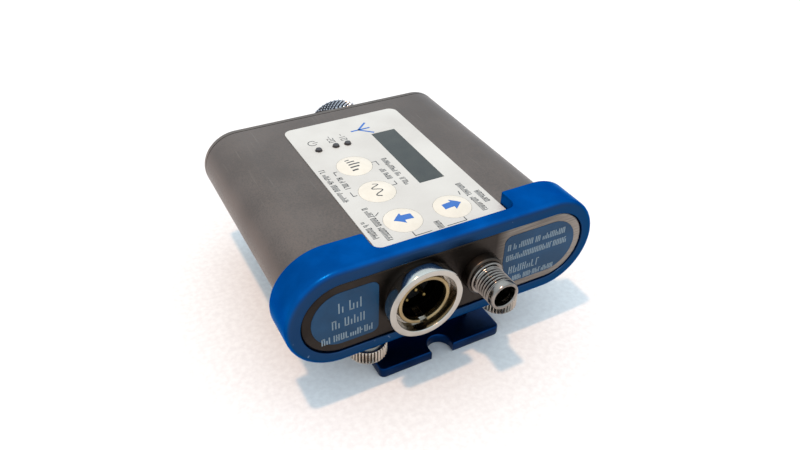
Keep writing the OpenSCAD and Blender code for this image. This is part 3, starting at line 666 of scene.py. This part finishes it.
# Collar: machined from an aluminium block, tumbled and anodised blue. It fits round the case's
# front end, and a notch behind its lip leaves the keypad free.
collar_lo, collar_hi = low("mount_collar"), high("mount_collar")
case_size = high("case_body") - low("case_body")
half_run = (case_size[0] - case_size[2]) / 2
in_r = case_size[2] / 2 + 0.05 * MM
out_r = (collar_hi[2] - collar_lo[2]) / 2
lip_y = collar_lo[1] + 3.2 * MM
notch_x = high("keypad_sheet")[0] + 0.2 * MM
notch_r = 2 * MM
corner_r = 0.5 * MM

quarter = np.linspace(0, np.pi / 2, 10)
inner_x = notch_x - notch_r + notch_r * np.cos(quarter)
inner_y = lip_y + notch_r - notch_r * np.sin(quarter)
outer_x = notch_x + corner_r - corner_r * np.sin(quarter)
outer_y = collar_hi[1] - corner_r + corner_r * np.cos(quarter)
flat_x = np.concatenate([[half_run], outer_x, inner_x])
flat_y = np.concatenate([[collar_hi[1]], outer_y, inner_y])
flat_x, flat_y = np.concatenate([flat_x, -flat_x[::-1]]), np.concatenate([flat_y, flat_y[::-1]])
arc = np.linspace(-np.pi / 2, np.pi / 2, 72)[1:-1]
run_x = np.concatenate([np.full(len(arc), half_run), flat_x, np.full(len(arc), -half_run),
                        np.linspace(-half_run, half_run, 12)])
way = np.concatenate([arc, np.full(len(flat_x), np.pi / 2), arc + np.pi, np.full(12, -np.pi / 2)])
back_y = np.concatenate([np.full(len(arc), collar_hi[1]), flat_y, np.full(len(arc) + 12, collar_hi[1])])
collar_profile = rounded([(out_r, collar_lo[1]), (out_r, collar_hi[1]), (in_r, collar_hi[1]),
                          (in_r, collar_lo[1])],
                         np.array((1.2, 0.3, 0.2, 0.2)) * MM, steps=9)
is_back = collar_profile[:, 1] > (collar_lo[1] + 2 * MM)
points = np.stack([run_x[:, None] + np.cos(way)[:, None] * collar_profile[None, :, 0],
                   collar_profile[None, :, 1] + is_back[None, :] * (back_y - collar_hi[1])[:, None],
                   mid_z + np.sin(way)[:, None] * collar_profile[None, :, 0]], -1)

# Anodised aluminium: the dye lies in a clear hard skin, so the metal's grain shows through in blue.
# The front face is painted a darker, greyer blue as painted shade, and its edge is worn bright in places.
anodised, tree, place = begin("blue anodised aluminium")
split = add(tree, "SeparateXYZ", {"Vector": place})
cloud = add(tree, "TexNoise", {"Vector": place, "Scale": 1 / (7 * MM), "Detail": 4.0})
fine = add(tree, "TexNoise", {"Vector": place, "Scale": 1 / (0.22 * MM), "Detail": 2.0})
share = add(tree, "MapRange", {"Value": cloud.outputs[0], "From Min": 0.35, "From Max": 0.65})
tone = add(tree, "Mix", {0: share.outputs[0], 6: linear("#033F7C"), 7: linear("#054C90")}, data_type="RGBA")
# painted shade: the first half millimetre of the front face along Y darkens to a greyer blue
front_shade_share = add(tree, "MapRange", {"Value": split.outputs[1], "From Min": collar_lo[1] + 0.5 * MM,
                                     "From Max": collar_lo[1] + 0.05 * MM})
deep_shade = add(tree, "Mix", {0: front_shade_share.outputs[0], 6: tone.outputs[2], 7: linear("#213A5C")},
           data_type="RGBA")
chips = add(tree, "TexNoise", {"Vector": place, "Scale": 1 / (1.1 * MM), "Detail": 3.0})
chip = add(tree, "MapRange", {"Value": chips.outputs[0], "From Min": 0.74, "From Max": 0.8})
edge_band = add(tree, "MapRange", {"Value": split.outputs[1], "From Min": collar_lo[1] + 1.1 * MM,
                                   "From Max": collar_lo[1] + 0.3 * MM})
worn_share = add(tree, "Math", {0: chip.outputs[0], 1: edge_band.outputs[0]}, operation="MULTIPLY")
colour = add(tree, "Mix", {0: worn_share.outputs[0], 6: deep_shade.outputs[2], 7: linear("#7F93AE")},
             data_type="RGBA")
gloss = add(tree, "MapRange", {"Value": fine.outputs[0], "From Min": 0.3, "From Max": 0.7,
                               "To Min": 0.28, "To Max": 0.4})
bump = add(tree, "Bump", {"Height": fine.outputs[0], "Strength": 0.15, "Distance": 0.05 * MM})
shader = add(tree, "BsdfPrincipled", {"Base Color": colour.outputs[2], "Metallic": 1.0,
                                      "Roughness": gloss.outputs[0], "Normal": bump.outputs[0],
                                      "Specular Tint": linear("#86C4FF")})
add(tree, "OutputMaterial", {"Surface": shader.outputs[0]})
collar = new_piece("collar_ring", [grid(points, close_u=True, close_v=True)], anodised, crease=40)
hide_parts("mount_collar")
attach(collar, "case")

# Foot bracket: flange under the collar, web and foot plate with a screw slot, milled in one piece
# and anodised dark blue.
foot_lo, foot_hi = low("foot_bracket"), high("foot_bracket")


def plate(outline, bottom, top, edge):
    """Solid between two heights: the closed outline (x, y), counter-clockwise, with quarter-round
    edges where it moves inwards by edge less its sine while it rises by edge less its cosine."""
    outline = np.asarray(outline, float)
    before, after = outline - np.roll(outline, 1, 0), np.roll(outline, -1, 0) - outline
    before /= np.maximum(np.linalg.norm(before, axis=1, keepdims=True), 1e-12)
    after /= np.maximum(np.linalg.norm(after, axis=1, keepdims=True), 1e-12)
    inward = np.stack([-(before + after)[:, 1], (before + after)[:, 0]], 1)
    inward /= np.maximum((inward ** 2).sum(1, keepdims=True) / 2, 1e-12)
    turn = np.linspace(0, np.pi / 2, 4)
    inset = np.concatenate([edge * (1 - np.sin(turn)), edge * (1 - np.sin(turn[::-1]))])
    level = np.concatenate([bottom + edge * (1 - np.cos(turn)), top - edge * (1 - np.cos(turn[::-1]))])
    rings = outline[None] + inset[:, None, None] * inward[None]
    points = np.concatenate([rings, np.broadcast_to(level[:, None, None], rings.shape[:2] + (1,))], 2)
    shell, faces = grid(points, close_v=True)
    last = (len(level) - 1) * len(outline)
    return shell, faces + [list(range(len(outline))), list(range(last, last + len(outline)))]


plate_y = foot_lo[1]
plate_x = 14.6 * MM
plate_end = plate_y + 47 * MM
plate_top = foot_lo[2] + 2.5 * MM
slot_r = 2.6 * MM
slot_centre = plate_y + 1.3 * MM
half_turn = np.linspace(np.pi, 0, 24)
corner = rounded([(-plate_x, plate_y), (plate_x, plate_y), (plate_x, plate_end), (-plate_x, plate_end)],
                 1.2 * MM)
slot_arc = np.stack([slot_r * np.cos(half_turn), slot_centre + slot_r * np.sin(half_turn)], 1)
steps = 6
outline = np.concatenate([corner[:steps], [(-slot_r, plate_y)], slot_arc,
                          [(slot_r, plate_y)], corner[steps:]])
flange_bottom = high("foot_bracket")[2] - 2 * MM
web = np.array([(-10, 6.1), (10, 6.1), (10, 9.1), (-10, 9.1)]) * MM + (0, plate_y)
flange = np.array([(-21, 0.9), (21, 0.9), (21, 9.1), (-21, 9.1)]) * MM + (0, plate_y)
bracket_blue = metal("dark blue anodised aluminium", ("#06244A", "#0A2E5A"), (0.32, 0.44),
                     patch=7, grain=0.25,
                     relief=0.15)
bracket = new_piece("bracket_milled", [
    plate(outline, foot_lo[2], plate_top, 0.45 * MM),
    plate(rounded(web, 0.3 * MM, 3), plate_top - 0.3 * MM, flange_bottom + 0.3 * MM, 0.05 * MM),
    plate(rounded(flange, 3 * MM, 8), flange_bottom, foot_hi[2], 0.25 * MM)], bracket_blue, crease=28)
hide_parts("foot_bracket")
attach(bracket, "case")

# Thumbscrews: turned brass, straight knurled and nickel plated. They hold the bracket's flange
# against the collar, and each has its own washer.
teeth = 35
for side in ("left", "right"):
    node = "thumbscrew_" + side
    lo, hi = low(node), high(node)
    head_r = (hi[0] - lo[0]) / 2
    head_top = lo[2] + 3.3 * MM
    # painted shade, dark brown, in the knurl's grooves
    knurl_nickel = metal("knurled nickel plate, " + side, ("#B5ABA0", "#C6BCB0"), (0.16, 0.28),
                         patch=3, grain=0.12,
                         groove=(((lo + hi) / 2)[:2].tolist() + [lo[2] + 1.65 * MM], 2, 1.3 * MM,
                                 head_r - 0.42 * MM, head_r - 0.12 * MM, "#1D1916"))

    def straight_knurl(turn, radius, height):
        """Upright teeth: a triangle wave of the turn, only on the rim."""
        on_rim = np.clip((radius - head_r + 0.1 * MM) / (0.1 * MM), 0, 1)
        return on_rim * 0.45 * MM * (triangle(turn * teeth / (2 * np.pi)) - 1)

    profile = np.array([
        (0, lo[2] + 0.2 * MM), (head_r - 1.3 * MM, lo[2] + 0.2 * MM), (head_r - 1.0 * MM, lo[2]),
        (head_r - 0.6 * MM, lo[2]), (head_r - 0.3 * MM, lo[2] + 0.15 * MM), (head_r, lo[2] + 0.4 * MM),
        (head_r, head_top - 0.4 * MM), (head_r - 0.3 * MM, head_top - 0.12 * MM),
        (head_r - 0.7 * MM, head_top),
        (1.5 * MM, head_top), (1.5 * MM, hi[2] - 0.3 * MM), (1.2 * MM, hi[2]), (0, hi[2])])
    screw = new_piece("screw_" + side, [turned(profile, middle(node), axis=2, steps=teeth * 6,
                                               ripple=straight_knurl, closed=False)], knurl_nickel, crease=24)
    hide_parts(node)
    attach(screw, side + "_screw")

# Table: a pale sheet of paper that runs well past the view. The light is one small lamp nearly
# overhead in an even, slightly blue room, so the shadows are short, crisp and blue.
paper = moulded("pale card", ("#DCD7D5", "#E4E0DE"), (0.75, 0.85), patch=1.2, grain=0.5, relief=0.1)
half = 1.6  # metres
square = np.array([(-half, -half, 0), (half, -half, 0), (half, half, 0), (-half, half, 0)])
floor = new_piece("table", [(square, [[0, 1, 2, 3]])], paper)

world = bpy.data.worlds.new("even room")
bpy.context.scene.world = world
world.use_nodes = True
tree = world.node_tree
tree.nodes.clear()
sky = add(tree, "TexCoord", {})
split = add(tree, "SeparateXYZ", {"Vector": sky.outputs["Generated"]})
up_share = add(tree, "MapRange", {"Value": split.outputs[2], "From Min": 0.0, "From Max": 0.9})
room = add(tree, "Mix", {0: up_share.outputs[0], 6: (0.82, 0.9, 0.98, 1), 7: (1.26, 1.53, 1.7, 1)},
           data_type="RGBA")
glow = add(tree, "Background", {"Color": room.outputs[2], "Strength": 1.0})
add(tree, "OutputWorld", {"Surface": glow.outputs[0]})

key = bpy.data.objects.new("key_lamp", bpy.data.lights.new("key_lamp", "AREA"))
bpy.context.scene.collection.objects.link(key)
key.data.shape = "DISK"
key.data.size = 0.05
key.data.energy = 4.4
key.data.color = (1.0, 0.62, 0.38)
lamp_way = Vector((-0.22, -0.07, 1.0)).normalized()
key.location = lamp_way * 0.95
key.rotation_euler = lamp_way.to_track_quat("Z", "Y").to_euler()

camera = bpy.data.objects.new("camera", bpy.data.cameras.new("camera"))
bpy.context.scene.collection.objects.link(camera)
camera.data.sensor_width = 36
camera.data.lens = 31.96
camera.data.clip_start = 0.005
right = Vector((0.88123035, -0.47199295, 0.02560723))
down = Vector((-0.26327805, -0.53510103, -0.80271511))
ahead = Vector((0.39257833, 0.70063509, -0.59581265))
turn = Matrix((right, -down, -ahead)).transposed().to_4x4()
camera.matrix_world = Matrix.Translation((-0.060110, -0.114210, 0.112547)) @ turn
bpy.context.scene.camera = camera
bpy.context.scene.view_settings.view_transform = "Standard"
